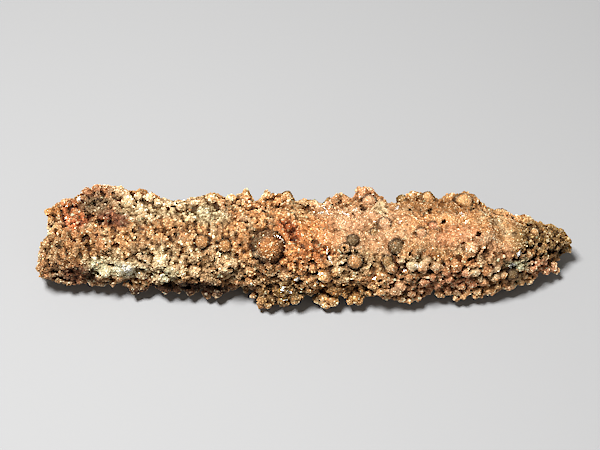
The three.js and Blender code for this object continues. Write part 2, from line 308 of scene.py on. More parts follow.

# Hollows, sunk into the crust and darkened with painted shade: [x, level, reach]
HOLLOWS = [
    (-92.6, -10.4, 1.1),
    (-86.2, 11.2, 1.8),
    (-84.6, -10.4, 1.2),
    (-83.4, 16, 1.4),
    (-81.4, 9.4, 1.3),
    (-77.4, 9.2, 1.7),
    (-64.6, -4, 1.0),
    (-64.2, 17.2, 1.2),
    (-59.8, -16, 1.5),
    (-51, 7.2, 0.7),
    (-49.8, -13.6, 0.9),
    (-47, 13.2, 1.0),
    (-46.2, -16.4, 1.3),
    (-35, -6.4, 0.9),
    (-28.6, -9.6, 0.9),
    (-19, -12.8, 0.9),
    (-8.2, 15.2, 1.3),
    (-1.4, -15.2, 1.7),
    (17, -2.2, 0.9),
    (20.2, 12, 0.7),
    (20.6, -2.8, 1.0),
    (23.8, 14.8, 1.4),
    (30.8, -14.2, 1.0),
    (37.4, -4.4, 1.1),
    (43.4, -3.4, 0.9),
    (43.4, 13.6, 1.0),
    (47.8, 12, 1.0),
    (50.6, 13.2, 1.0),
    (55.8, 9.2, 0.7),
    (66.6, -5.6, 1.1),
    (67.4, 14.4, 1.0),
    (69.8, 4.4, 0.9),
    (84.4, -6.2, 1.2),
    (87.2, -6.2, 0.9),
    (90, -6.2, 1.1),
    (92.8, -5.4, 1.3),
    (95.4, -4.4, 1.1),
    (98, -3, 1.0),
    (100.4, -2.4, 1.2),
    (103.2, -2.8, 1.3),
    (88.6, -3.2, 0.8),
]

# Round spherules with finer grains and a rim darkened with painted shade: [x, level, radius, colour]
SPHERULES = [
    (-14.4, -1, 6.5, "sienna"),
    (-18.6, -3.6, 1.6, "slate"),
    (37.2, -0.7, 3.0, "dusk"),
    (16.6, -1.4, 2.0, "tan"),
    (28.2, 5.2, 1.5, "olive"),
    (19.6, 1.8, 2.3, "dusk"),
    (20.4, -6.4, 3.1, "bronze"),
    (33.6, -6.4, 2.2, "olive"),
    (47, 4.8, 2.1, "pink"),
    (51.4, 7.6, 1.7, "salmon"),
    (32.4, 8.5, 2.6, "pink"),
    (92.2, 5, 2.0, "tan"),
    (49.8, 18.8, 2.7, "tan"),
    (39.4, 18, 2.2, "olive"),
    (64, 17, 3.8, "tan"),
    (26.2, 17.2, 3.0, "pink"),
    (-40.6, 1.2, 2.8, "bronze"),
    (-31.4, -0.4, 2.7, "bronze"),
    (83.4, -11.4, 2.5, "dusk"),
]

# Lumps with a place of their own: [x, level, radius]
LUMPS = [
    (-70.2, 16.4, 3.3),
    (-64.6, -3.6, 2.4),
    (-64.6, -10.8, 3.0),
    (-73, -8.4, 3.0),
    (-79.4, -10, 2.8),
    (-57, -6, 3.4),
    (-55.8, -12, 2.8),
    (-43.4, -10, 3.2),
    (-49, -10, 2.6),
    (-28.2, -7.2, 2.4),
    (-35, -13.2, 3.0),
    (-26.6, -12.8, 2.6),
    (-21, -9.2, 3.0),
    (-15.8, -17.2, 3.2),
    (-7.4, -11.2, 3.2),
    (27, 10.8, 3.0),
    (67.2, -1, 3.4),
    (99.8, 6, 1.5),
    (96.8, 4.8, 1.3),
    (103.2, 3.4, 1.5),
    (100.6, 1.6, 1.3),
    (96.4, -0.4, 1.4),
    (90.4, 0.6, 1.4),
    (86.6, 3.4, 1.5),
    (30.8, 15, 2.2),
    (59.4, 8.6, 3.2),
    (-22.6, 15.6, 2.6),
    (96.6, -9.8, 2.4),
    (99.8, -8.8, 2.2),
    (8.6, -12, 2.8),
    (4, -9, 2.2),
    (13.4, -10.6, 2.2),
    (-1.6, -15.4, 2.2),
]

# White flecks, partly white crystals and partly painted highlights: [x, level, half length, half width,
# turn in degrees]
FLECKS_AND_GLINTS = [
    (-70.7, -9.3, 2.2, 1.5, -15),
    (-89.8, 18.4, 1.5, 0.6, 75),
    (-94.6, 15.6, 0.7, 0.6, 0),
    (-95, 10.8, 0.7, 0.5, 0),
    (-10.6, 3.5, 1.3, 0.5, -10),
    (-8.7, 2.1, 1.8, 0.5, -50),
    (-17.5, 0.6, 0.6, 0.5, 0),
    (-0.6, 3.9, 0.8, 0.5, 0),
    (-8.2, -17.7, 1.6, 0.7, 60),
    (-5.7, -18.8, 1.5, 0.5, -30),
    (-7.4, -21.9, 0.9, 0.5, 0),
    (-2, -13.5, 1.8, 0.5, 25),
    (10.6, -5.9, 1.8, 0.6, -60),
    (9.6, -1.5, 2.2, 0.5, 75),
    (8.6, 3, 1.7, 0.4, 80),
    (8.9, 14, 2.2, 0.6, -60),
    (7, 13, 1.6, 0.4, 20),
    (6.9, -11.6, 1.0, 0.7, 0),
    (5.8, -14.9, 0.9, 0.6, 0),
    (17, 12.4, 2.0, 0.5, -30),
    (20.6, 14, 0.9, 0.6, 0),
    (46, -8.2, 1.6, 0.9, 0),
    (28.4, -13.4, 1.2, 0.7, 0),
    (40.3, -10.2, 0.9, 0.6, 0),
    (53.7, -4.2, 0.7, 0.5, 0),
    (83.4, -8.2, 1.5, 0.9, 0),
    (86.2, -3.2, 1.4, 0.8, 60),
    (63.4, 12.4, 1.3, 0.7, -45),
    (65, 9.2, 1.3, 0.7, 40),
    (38.6, 9.2, 0.8, 0.6, 0),
    (37.4, 14.8, 1.2, 0.6, 30),
]

# Beads on the ledges along the lower right side, row under row: [x, level, radius]
BEADS = [
    (35.4, -8.8, 2.6),
    (39, -5.6, 2.0),
    (43.4, -8, 2.4),
    (47.6, -8.4, 2.6),
    (53.4, -8.8, 2.3),
    (57.2, -10, 2.2),
    (61.2, -8.4, 2.6),
    (65, -10.8, 2.2),
    (68.6, -10.6, 2.2),
    (73.4, -10, 2.6),
    (77.2, -9.2, 1.8),
    (79.8, -12, 1.6),
    (86.4, -8.8, 1.8),
    (91, -9.2, 2.2),
    (42.2, -12.6, 1.8),
    (48, -14.2, 2.2),
    (51.4, -12.8, 1.6),
    (53.8, -15.2, 2.0),
    (58.2, -13.4, 1.7),
    (60.2, -15.4, 1.5),
    (63.2, -15.8, 2.0),
    (67.4, -15, 2.0),
    (71.8, -14.4, 2.2),
    (76.2, -12.9, 1.9),
    (77.6, -16.4, 1.5),
    (83.4, -16.2, 1.6),
    (86.8, -14.6, 1.7),
    (88.6, -12.2, 1.4),
    (38.6, -16.4, 2.6),
    (43, -19.2, 1.7),
    (46.6, -18, 1.6),
    (49.8, -18.4, 1.6),
    (54.6, -19.2, 1.9),
    (57.6, -16.9, 1.8),
    (61.4, -18.4, 1.9),
    (65.2, -18.6, 1.7),
    (69.4, -18.3, 1.9),
    (73.2, -17.2, 1.6),
]

# Knobs on the outline, clockwise from the left end: [x, level, radius]
EDGE_KNOBS = [
    (-103.8, -3.6, 1.9),
    (-102.8, 0.8, 1.7),
    (-101.8, 5, 1.8),
    (-101.4, 9.4, 1.8),
    (-101.4, 12.8, 2.0),
    (-95.4, 15.6, 2.4),
    (-91, 16.8, 2.0),
    (-86.4, 20.6, 2.4),
    (-82.6, 22.2, 2.4),
    (-78.2, 22, 2.4),
    (-73.8, 21.4, 2.1),
    (-71, 20.2, 1.8),
    (-66.2, 19, 1.9),
    (-61.4, 18.8, 2.0),
    (-57.8, 16.6, 2.0),
    (-53.4, 16.4, 2.2),
    (-43.8, 16.8, 2.2),
    (-36.6, 18, 2.4),
    (-32.6, 16.6, 2.0),
    (-28.6, 18.4, 2.3),
    (-23, 21.4, 1.2),
    (-23, 18.9, 1.9),
    (-14.2, 19.8, 2.3),
    (-16.6, 17.8, 2.0),
    (-7, 18.8, 2.2),
    (-9.8, 17.4, 1.8),
    (0.2, 16.4, 2.0),
    (3.4, 16.2, 1.8),
    (9.4, 16, 1.8),
    (11.8, 17.4, 1.8),
    (13.4, 18.9, 1.4),
    (17, 17.4, 2.0),
    (23.8, 20.4, 2.3),
    (21, 20.2, 1.4),
    (22.2, 22.2, 1.2),
    (24.8, 22.4, 1.2),
    (27.2, 21.6, 1.4),
    (30.2, 18.6, 1.4),
    (31.8, 16.2, 2.0),
    (35.8, 15.2, 1.7),
    (43.4, 18.8, 2.4),
    (57.4, 17.8, 2.0),
    (59.6, 18.8, 1.8),
    (68.8, 17.4, 1.9),
    (71.4, 15, 2.0),
    (77.8, 12.6, 2.0),
    (81.4, 11.4, 1.9),
    (85.4, 11, 2.1),
    (89.4, 9.8, 1.9),
    (94.6, 8.6, 1.6),
    (98.6, 7, 1.6),
    (102.6, 5.2, 1.7),
    (104.8, 1.8, 1.7),
    (104.4, -1.6, 1.6),
    (101, -10.4, 1.5),
    (92.6, -13, 1.4),
    (90.6, -14.8, 1.3),
    (82, -17, 1.4),
    (69, -20.2, 1.6),
    (63.8, -20.6, 1.4),
    (61, -21.4, 1.5),
    (45.4, -21, 1.7),
    (42.6, -21.8, 1.6),
    (39.4, -21.4, 1.9),
    (36.6, -18.4, 2.0),
    (33, -20.6, 1.5),
    (30.6, -18.4, 1.9),
    (26.2, -19, 1.6),
    (20.8, -20.6, 2.7),
    (22.6, -22.4, 1.7),
    (18.6, -22.5, 1.5),
    (16.2, -20.2, 1.4),
    (9, -21.4, 3.1),
    (5.8, -21.8, 1.9),
    (12, -22.4, 1.9),
    (9, -24.2, 1.6),
    (1.8, -18.2, 1.6),
    (-1.4, -20.8, 1.4),
    (-3.4, -21.4, 2.0),
    (-9, -21.8, 2.0),
    (-8.6, -23.4, 1.3),
    (-16, -21.6, 2.5),
    (-17, -24, 1.5),
    (-14.4, -23.9, 1.5),
    (-19.8, -20.2, 1.4),
    (-23, -18, 1.3),
    (-34.6, -19, 2.2),
    (-38.6, -19.4, 2.0),
    (-45.4, -18.2, 1.9),
    (-50.2, -17.6, 2.0),
    (-55, -17.4, 2.0),
    (-64.2, -17, 1.8),
    (-67.4, -17.4, 2.3),
    (-70.4, -16.6, 1.8),
    (-76.2, -15.1, 1.4),
    (-80.6, -15.4, 1.3),
    (-84.6, -15, 1.3),
    (-89.4, -14.6, 1.3),
    (-93.8, -14.8, 1.4),
    (-98.2, -14, 1.4),
    (-100.8, -10.8, 2.0),
    (-103.2, -7, 2.0),
]

# Trims of the outline: [x, level, reach, push along x, push up the picture]
TRIMS = [
    (-103.4, 6, 7, 1.3, 0),
    (-103.6, -9.4, 5.5, -1.8, -1.6),
    (-71.6, -18, 3, 0, 1.5),
    (-55, 20, 5, 0, -1.2),
    (-50, 19.8, 5, 0, -1.8),
    (-44.6, 20, 5, 0, -1.2),
    (-30, -19.4, 4, 0, 0.9),
    (-19.4, 20.4, 3.4, 0.2, -2.6),
    (-11.6, 22.4, 3.2, 0, -2.3),
    (-2.6, 20.6, 3.6, 0, -2.5),
    (0.8, -21.4, 3, 0, 1.2),
    (2, 19.8, 4, 0, -1.2),
    (7.2, 19.4, 3.2, 0, -2.7),
    (14.6, -21.8, 3, 0, 1.1),
    (19, 21.2, 2.8, 0, -2),
    (24.4, -22.2, 3, 0, 1.4),
    (29.8, 21.8, 3.4, 0, -1.4),
    (54, 21.4, 4, 0, -2.3),
    (57.8, -19.4, 3, 0, -1.6),
    (72.8, 18.2, 4.4, -0.8, -2.2),
    (74.6, -18.4, 3, 0, -1.2),
    (88, 12.8, 6, 0, -1.2),
    (93.8, -13.2, 3.8, 0, 1.8),
    (95, 10.2, 5, 0, -0.9),
    (104.6, -2, 6, 1.4, 0),
]


def linear(name):
    """A named colour as linear light."""
    value = np.asarray(COLOURS[name], float) / 255
    return np.where(value <= 0.04045, value / 12.92, ((value + 0.055) / 1.055) ** 2.4)


def smooth(value, low, high):
    """A soft step from 0 at low to 1 at high."""
    share = np.clip((value - low) / (high - low), 0, 1)
    return share * share * (3 - 2 * share)


def mesh_arrays(mesh):
    """A mesh's vertices, vertex normals and triangles."""
    mesh.calc_loop_triangles()
    points = np.empty(len(mesh.vertices) * 3)
    mesh.vertices.foreach_get("co", points)
    normals = np.empty(len(mesh.vertices) * 3)
    mesh.vertices.foreach_get("normal", normals)
    triangles = np.empty(len(mesh.loop_triangles) * 3, int)
    mesh.loop_triangles.foreach_get("vertices", triangles)
    return points.reshape(-1, 3), normals.reshape(-1, 3), triangles.reshape(-1, 3)


def mesh_from(name, points, triangles, rounded=True):
    """A mesh of triangles, with smooth shading where rounded."""
    mesh = bpy.data.meshes.new(name)
    mesh.vertices.add(len(points))
    mesh.vertices.foreach_set("co", np.ascontiguousarray(points, np.float32).ravel())
    mesh.loops.add(3 * len(triangles))
    mesh.loops.foreach_set("vertex_index", np.ascontiguousarray(triangles, np.int32).ravel())
    mesh.polygons.add(len(triangles))
    mesh.polygons.foreach_set("loop_start", np.arange(0, 3 * len(triangles), 3, dtype=np.int32))
    mesh.polygons.foreach_set("use_smooth", np.full(len(triangles), rounded))
    mesh.update(calc_edges=True)
    return mesh


def with_modifiers(mesh, settings):
    """A new mesh: the given one after modifiers, each given as (type, {setting: value})."""
    holder = bpy.data.objects.new("holder", mesh)
    bpy.context.scene.collection.objects.link(holder)
    for kind, values in settings:
        modifier = holder.modifiers.new(kind.lower(), kind)
        for key, value in values.items():
            setattr(modifier, key, value)
    bpy.context.view_layer.update()
    graph = bpy.context.evaluated_depsgraph_get()
    result = bpy.data.meshes.new_from_object(holder.evaluated_get(graph))
    bpy.data.objects.remove(holder)
    return result


def ball(subdivisions):
    """The vertices of an icosphere of radius 1, and its triangles."""
    form = bmesh.new()
    bmesh.ops.create_icosphere(form, subdivisions=subdivisions, radius=1)
    mesh = bpy.data.meshes.new("ball")
    form.to_mesh(mesh)
    form.free()
    points, _, triangles = mesh_arrays(mesh)
    bpy.data.meshes.remove(mesh)
    return points, triangles


def octahedron():
    """The vertices of an octahedron of radius 1, and its triangles."""
    points = np.array([(1, 0, 0), (0, 1, 0), (-1, 0, 0), (0, -1, 0), (0, 0, 1), (0, 0, -1)], float)
    triangles = [(i, (i + 1) % 4, 4) for i in range(4)] + [((i + 1) % 4, i, 5) for i in range(4)]
    return points, np.array(triangles)


def turns(count):
    """Random rotation matrices."""
    q = rng.normal(size=(count, 4))
    q /= np.linalg.norm(q, axis=1)[:, None]
    w, x, y, z = q.T
    rows = [
        1 - 2 * (y * y + z * z), 2 * (x * y - z * w), 2 * (x * z + y * w),
        2 * (x * y + z * w), 1 - 2 * (x * x + z * z), 2 * (y * z - x * w),
        2 * (x * z - y * w), 2 * (y * z + x * w), 1 - 2 * (x * x + y * y),
    ]
    return np.stack(rows, axis=1).reshape(-1, 3, 3)


def spread(points, apart, order):
    """Indices of points, taken in the given order, that keep their own clear space around them."""
    tree = kdtree.KDTree(len(points))
    for i, point in enumerate(points):
        tree.insert(point, i)
    tree.balance()
    taken = np.zeros(len(points), bool)
    kept = []
    for i in order:
        if taken[i]:
            continue
        kept.append(i)
        for _, near, _ in tree.find_range(points[i], apart[i]):
            taken[near] = True
    return np.array(kept)


def strewn(triangles, count, points, *values):
    """Random places on a surface, and what the values of its vertices are there."""
    corners = points[triangles]
    area = np.linalg.norm(np.cross(corners[:, 1] - corners[:, 0], corners[:, 2] - corners[:, 0]), axis=1)
    chosen = rng.choice(len(triangles), size=count, p=area / area.sum())
    u, v = rng.random((2, count))
    flip = u + v > 1
    u[flip], v[flip] = 1 - u[flip], 1 - v[flip]
    weights = np.stack([1 - u - v, u, v], axis=1)
    return [np.einsum("nc,nc...->n...", weights, value[triangles[chosen]]) for value in (points, *values)]


def unit(vectors):
    return vectors / np.linalg.norm(vectors, axis=1)[:, None]


def standing_out(points, normals, triangles, rounds):
    """How far points stand out from a smoothed surface, or lie under it as a negative."""
    start = triangles.ravel()
    end = triangles[:, [1, 2, 0]].ravel()
    degree = np.bincount(start, minlength=len(points))
    smoothed = points
    for _ in range(rounds):
        sums = [np.bincount(start, smoothed[end, axis], len(points)) for axis in range(3)]
        smoothed = np.stack(sums, axis=1) / degree[:, None]
    return ((points - smoothed) * normals).sum(axis=1)


def noise_at(points, scale, seed):
    """Smooth noise from about -1 to 1, with features of about `scale`."""
    shift = Vector([seed * step for step in NOISE_SHIFTS])
    return np.array([noise.noise(Vector(point) / scale + shift) for point in points])


# Frame
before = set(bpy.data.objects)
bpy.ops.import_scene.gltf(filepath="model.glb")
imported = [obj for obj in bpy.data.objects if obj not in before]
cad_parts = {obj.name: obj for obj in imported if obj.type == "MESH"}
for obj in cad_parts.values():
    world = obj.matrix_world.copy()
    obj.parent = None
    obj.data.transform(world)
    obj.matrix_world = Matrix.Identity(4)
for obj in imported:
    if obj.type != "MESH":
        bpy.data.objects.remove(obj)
cad_low, cad_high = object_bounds()
rng = np.random.default_rng(SEED)
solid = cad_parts["native_copper"]
solid_points, _, _ = mesh_arrays(solid.data)

# Camera
VIEW_UP = np.array((0, math.sin(SIGHT_ANGLE), math.cos(SIGHT_ANGLE)))
TO_VIEWER = np.array((0, -math.cos(SIGHT_ANGLE), math.sin(SIGHT_ANGLE)))
heights = solid_points @ VIEW_UP
LEVEL_ZERO = (heights.max() + heights.min()) / 2 - (TOP_LEVEL + BOTTOM_LEVEL) / 2
MIDDLE_DEPTH = (cad_low[2] + cad_high[2]) / 2 * TO_VIEWER[2]
DISTANCE = LENS / SENSOR * PIXELS_ACROSS * PIXEL


def in_picture(x, level):
    """The point in the plane through the specimen's middle that is seen at x and a level, in metres."""
    return np.array((x, 0, 0)) + VIEW_UP * (LEVEL_ZERO + level) + TO_VIEWER * MIDDLE_DEPTH


VIEWER = in_picture(*PICTURE_MIDDLE) + TO_VIEWER * DISTANCE


def add_camera():
    data = bpy.data.cameras.new("camera")
    data.lens = LENS
    data.sensor_width = SENSOR
    camera = bpy.data.objects.new("camera", data)
    camera.location = VIEWER
    camera.rotation_euler = (math.pi / 2 - SIGHT_ANGLE, 0, 0)
    bpy.context.scene.collection.objects.link(camera)
    bpy.context.scene.camera = camera


add_camera()

# Skin
skin_mesh = with_modifiers(solid.data.copy(), [
    ("REMESH", {"mode": "VOXEL", "voxel_size": CORE_VOXEL}),
    ("SMOOTH", CORE_SMOOTHING),
])
skin_points, skin_normals, skin_triangles = mesh_arrays(skin_mesh)
skin_tree = BVHTree.FromPolygons([tuple(p) for p in skin_points], [tuple(t) for t in skin_triangles])


def sight(x, level):
    """Where the viewer's sight at x and a level, in millimetres, meets the skin, and the skin's normal."""
    aim = in_picture(x * MM, level * MM) - VIEWER
    place, normal, _, _ = skin_tree.ray_cast(Vector(VIEWER), Vector(aim).normalized())
    return place, normal


def beside(x, level, sink):
    """The point that is seen at x and a level, a sink deeper than the nearest skin towards level 0."""
    for share in np.linspace(1, 0, EDGE_STEPS):
        place, _ = sight(x, level * share)
        if place is not None:
            break
    aim = in_picture(x * MM, level * MM) - VIEWER
    depth = (VIEWER - np.array(place)) @ TO_VIEWER + sink
    return VIEWER - aim * depth / (aim @ TO_VIEWER)


def as_seen(points):
    """The x and level, in millimetres, at which the viewer sees points."""
    scale = DISTANCE / ((VIEWER - points) @ TO_VIEWER)
    x = VIEWER[0] + (points[:, 0] - VIEWER[0]) * scale
    level = VIEWER @ VIEW_UP + (points - VIEWER) @ VIEW_UP * scale - LEVEL_ZERO
    return x / MM, level / MM


def seated(x, level, sink):
    """The point that is seen at x and a level, sunk straight into the skin."""
    aim_x, aim_level = x, level
    for _ in range(SEAT_TRIES):
        place, normal = sight(aim_x, aim_level)
        if place is None:
            return beside(x, level, sink)
        centre = np.array(place - normal * sink)
        seen_x, seen_level = as_seen(centre[None])
        aim_x += x - seen_x[0]
        aim_level += level - seen_level[0]
    return centre


def rise_over_skin(points):
    """How far points stand above the skin, or below it as a negative."""
    rise = np.empty(len(points))
    for i, point in enumerate(points):
        place, normal, _, _ = skin_tree.find_nearest(Vector(point))
        rise[i] = (Vector(point) - place).dot(normal)
    return rise


# Centres and radii of what has a place of its own
def spherule_sink(size):
    """How far a spherule's centre lies under the skin, in radii: a large one shows only its cap."""
    return LARGE_SINK if size > LARGE_SPHERULE else SPHERULE_SINK


spherules = []
for x, level, size, colour in SPHERULES:
    size *= MM
    spherules.append((seated(x, level, spherule_sink(size) * size), size, colour))
beads = [(seated(x, level, BEAD_SINK * size * MM), size * MM) for x, level, size in BEADS]
lumps = [(seated(x, level, LUMP_SINK * size * MM), size * MM) for x, level, size in LUMPS]
edge_knobs = [(beside(x, level, EDGE_SINK * size * MM), size * MM) for x, level, size in EDGE_KNOBS]


def add_hidden_spherules():
    """Spherules on the side that the reference doesn't show."""
    places, normals = strewn(skin_triangles, HIDDEN_TRIES, skin_points, skin_normals)
    normals = unit(normals)
    hidden = (normals @ TO_VIEWER < HIDDEN_FACING) & (normals[:, 2] > HIDDEN_TILT)
    hidden &= places[:, 2] > HIDDEN_HEIGHT
    places, normals = places[hidden], normals[hidden]
    for i in spread(places, np.full(len(places), HIDDEN_SPACING), range(len(places))):
        size = rng.uniform(*HIDDEN_RADIUS) * MM
        colour = str(rng.choice(HIDDEN_COLOURS))
        spherules.append((places[i] - normals[i] * SPHERULE_SINK * size, size, colour))


add_hidden_spherules()


def in_fine_zones(points, normals):
    """1 well inside the zones of fine grains, 0 outside them."""
    x, level = as_seen(points)
    facing = smooth(normals @ TO_VIEWER, *ZONE_FACING)
    fine = np.zeros(len(points))
    for at_x, at_level, half_x, half_level in FINE_ZONES:
        reach = ((x - at_x) / half_x) ** 2 + ((level - at_level) / half_level) ** 2
        fine = np.maximum(fine, (1 - smooth(reach, *ZONE_EDGE)) * facing)
    return fine


def fineness(points, normals):
    """1 where the grains are finest, 0 where they are coarse."""
    fine = in_fine_zones(points, normals)
    for centre, size, _ in spherules:
        near = np.linalg.norm(points - centre, axis=1) < size + BALL_MARGIN
        fine[near] = 1 if size < LARGE_SPHERULE else LARGE_FINENESS
    for centre, size in beads:
        fine[np.linalg.norm(points - centre, axis=1) < size + BALL_MARGIN] = BEAD_FINENESS
    return fine


def hollowness(points, normals):
    """1 in the hollows that the viewer sees, 0 away from them."""
    x, level = as_seen(points)
    x = x + HOLLOW_WANDER * noise_at(points, HOLLOW_NOISE, 21)
    level = level + HOLLOW_WANDER * noise_at(points, HOLLOW_NOISE, 22)
    hollow = np.zeros(len(points))
    start, end = HOLLOW_EDGE
    for at_x, at_level, reach in HOLLOWS:
        distance = np.hypot(x - at_x, level - at_level)
        hollow = np.maximum(hollow, 1 - smooth(distance, start * reach, end * reach))
    return hollow * smooth(normals @ TO_VIEWER, *HOLLOW_FACING)


def flecked(points, normals):
    """Which points lie in a white fleck that the viewer sees; the flecks are partly white crystals and
    partly painted highlights.
    """
    x, level = as_seen(points)
    white = np.zeros(len(points), bool)
    for at_x, at_level, half_length, half_width, degrees in FLECKS_AND_GLINTS:
        turn = math.radians(degrees)
        along = (x - at_x) * math.cos(turn) + (level - at_level) * math.sin(turn)
        across = (level - at_level) * math.cos(turn) - (x - at_x) * math.sin(turn)
        white |= np.hypot(along / half_length, across / half_width) < 1
    return white & (normals @ TO_VIEWER > 0)


def trimmed(points):
    """Points of the crust, moved where the outline is trimmed."""
    x, level = as_seen(points)
    moved = points.copy()
    start, end = TRIM_EDGE
    for at_x, at_level, reach, push_x, push_level in TRIMS:
        share = 1 - smooth(np.hypot(x - at_x, level - at_level), start * reach, end * reach)
        moved[:, 0] += share * push_x * MM
        moved += VIEW_UP * (share * push_level * MM)[:, None]
    return moved


def balls_at(centres, radius, form, faces):
    """Balls of a form at centres, as points and triangles."""
    points = form[None] * np.reshape(radius, (-1, 1, 1)) + centres[:, None]
    triangles = faces[None] + np.arange(len(centres))[:, None, None] * len(form)
    return points.reshape(-1, 3), triangles.reshape(-1, 3)


def with_lobes(centres, radius, body):
    """Knobs, each a ball with smaller balls on it: their centres and radii."""
    out = rng.normal(size=(len(centres), LOBES, 3))
    out /= np.linalg.norm(out, axis=2)[:, :, None]
    lobes = centres[:, None] + out * (LOBE_REACH * radius)[:, None, None]
    lobe_radius = radius[:, None] * rng.uniform(*LOBE_RADIUS, (len(centres), LOBES))
    all_centres = np.concatenate([centres, lobes.reshape(-1, 3)])
    return all_centres, np.concatenate([body * radius, lobe_radius.ravel()])


def strewn_knobs():
    """Centres and radii of the knobs that have no place of their own."""
    places, normals = strewn(skin_triangles, KNOB_TRIES, skin_points, skin_normals)
    normals = unit(normals)
    small, large = KNOB_RADIUS
    radius = small + (large - small) * rng.power(KNOB_POWER, len(places))
    fine = fineness(places, normals)
    radius *= 1 - FINE_KNOBS * fine
    chosen = spread(places, KNOB_CROWDING * radius, rng.permutation(len(places)))
    places, normals, radius, fine = (value[chosen] for value in (places, normals, radius, fine))
    top = rng.uniform(*KNOB_TOP, len(places)) * (1 - FINE_LEVEL * fine)
    centres = places + normals * (top - radius)[:, None]
    free = np.ones(len(places), bool)
    for centre, size in lumps + beads + edge_knobs:
        free &= np.linalg.norm(centres - centre, axis=1) > KNOB_CLEARING * (size + radius)
    for centre, size, _ in spherules:
        free &= np.linalg.norm(centres - centre, axis=1) > size + SPHERULE_CLEARING * radius
    return centres[free], radius[free]


def placed(balls):
    """The centres and radii of balls with places of their own, as arrays."""
    return np.array([centre for centre, *_ in balls]), np.array([size for _, size, *_ in balls])


def in_box(centres, radius):
    """Centres, moved where their balls would pass the solid's box by more than the margin."""
    low = np.array(cad_low) + (-BOX_MARGIN, -BOX_MARGIN, 0)
    high = np.array(cad_high) + BOX_MARGIN
    return np.clip(centres, low + radius[:, None], high - radius[:, None])


def crust_mesh():
    """The knobs and the core under them, joined into one crust."""
    core = with_modifiers(skin_mesh, [("DISPLACE", {"strength": -CORE_DEPTH, "mid_level": 0})])
    points, _, triangles = mesh_arrays(core)
    knobs = [
        (*strewn_knobs(), PLAIN_BODY),
        (*placed(lumps + beads), ROUND_BODY),
        (*placed(edge_knobs), EDGE_BODY),
    ]
    rounds = []
    for centres, radius, body in knobs:
        balls = with_lobes(in_box(centres, radius), radius, body)
        rounds.append(balls_at(*balls, *ball(KNOB_DETAIL)))
    centres, radius = placed(spherules)
    rounds.append(balls_at(in_box(centres, radius), radius, *ball(SPHERULE_DETAIL)))
    for more_points, more_triangles in rounds:
        triangles = np.concatenate([triangles, more_triangles + len(points)])
        points = np.concatenate([points, more_points])
    joined = mesh_from("joined", points, triangles)
    return with_modifiers(joined, [("REMESH", {"mode": "VOXEL", "voxel_size": CRUST_VOXEL})])


def tints(points, normals):
    """The copper's colour at points, as linear light, before its grains' own differences, with painted
    shade along the underside and at spherules' rims.
    """
    x, level = as_seen(points)
    x = x + PATCH_WANDER * noise_at(points, PATCH_NOISE, 1)
    level = level + PATCH_WANDER * noise_at(points, PATCH_NOISE, 2)
    base = np.tile(linear("tan"), (len(points), 1))
    for seed, (name, size, strength) in enumerate(MOTTLING, 3):
        mottle = smooth(noise_at(points, size * MM, seed), *MOTTLE_EDGE)[:, None]
        base += (linear(name) - base) * mottle * strength
    facing = smooth(normals @ TO_VIEWER, *PATCH_FACING)
    for at_x, at_level, half_x, half_level, name, strength in PATCHES:
        reach = ((x - at_x) / half_x) ** 2 + ((level - at_level) / half_level) ** 2
        share = strength * (1 - smooth(reach, *PATCH_EDGE)) * facing
        base += (linear(name) - base) * share[:, None]
    # Painted shade: each spherule darkens towards its rim as the viewer sees it
    for centre, size, name in spherules:
        away = points - centre
        distance = np.linalg.norm(away, axis=1)
        share = 1 - smooth(distance, size + SPHERULE_EDGE[0], size + SPHERULE_EDGE[1])
        start, end = (spherule_sink(size) + edge for edge in RIM_EDGE)
        rim = RIM_SHADE + (1 - RIM_SHADE) * smooth(away @ TO_VIEWER / distance, start, end)
        base += (linear(name) * rim[:, None] - base) * share[:, None] * SPHERULE_TINT
    return base


def set_colours(mesh, colours):
    """Writes one colour a vertex, with its painted light and shade, to the attribute `tint`."""
    layer = mesh.color_attributes.new("tint", "FLOAT_COLOR", "POINT")
    values = np.ones((len(colours), 4), np.float32)
    values[:, :3] = colours
    layer.data.foreach_set("color", values.ravel())


def copper_material():
    """Weathered copper: the vertices' tint, which carries painted light and shade, mottled, part metal,
    with fine bumps.
    """
    material = bpy.data.materials.new("weathered_copper_and_painted_shade")
    material.use_nodes = True
    nodes, links = material.node_tree.nodes, material.node_tree.links
    shader = nodes["Principled BSDF"]
    shader.inputs["Specular IOR Level"].default_value = SPECULAR
    place = nodes.new("ShaderNodeTexCoord")

    def mottled(size, low, high):
        """Noise with features of a size, spread from low to high."""
        pattern = nodes.new("ShaderNodeTexNoise")
        pattern.inputs["Scale"].default_value = 1 / size
        pattern.inputs["Detail"].default_value = NOISE_DETAIL
        links.new(place.outputs["Object"], pattern.inputs["Vector"])
        stretch = nodes.new("ShaderNodeMapRange")
        stretch.inputs["From Min"].default_value = NOISE_SPAN[0]
        stretch.inputs["From Max"].default_value = NOISE_SPAN[1]
        stretch.inputs["To Min"].default_value = low
        stretch.inputs["To Max"].default_value = high
        links.new(pattern.outputs["Fac"], stretch.inputs["Value"])
        return stretch.outputs["Result"]

    tint = nodes.new("ShaderNodeAttribute")
    tint.attribute_name = "tint"
    shaded = nodes.new("ShaderNodeVectorMath")
    shaded.operation = "SCALE"
    links.new(tint.outputs["Color"], shaded.inputs[0])
    links.new(mottled(*TINT_NOISE), shaded.inputs["Scale"])
    links.new(shaded.outputs["Vector"], shader.inputs["Base Color"])
    links.new(mottled(*ROUGHNESS_NOISE), shader.inputs["Roughness"])
    links.new(mottled(*METALLIC_NOISE), shader.inputs["Metallic"])
    bump = nodes.new("ShaderNodeBump")
    bump.inputs["Strength"].default_value = BUMP_STRENGTH
    bump.inputs["Distance"].default_value = BUMP_HEIGHT
    links.new(mottled(*BUMP_NOISE), bump.inputs["Height"])
    links.new(bump.outputs["Normal"], shader.inputs["Normal"])
    return material


copper = copper_material()


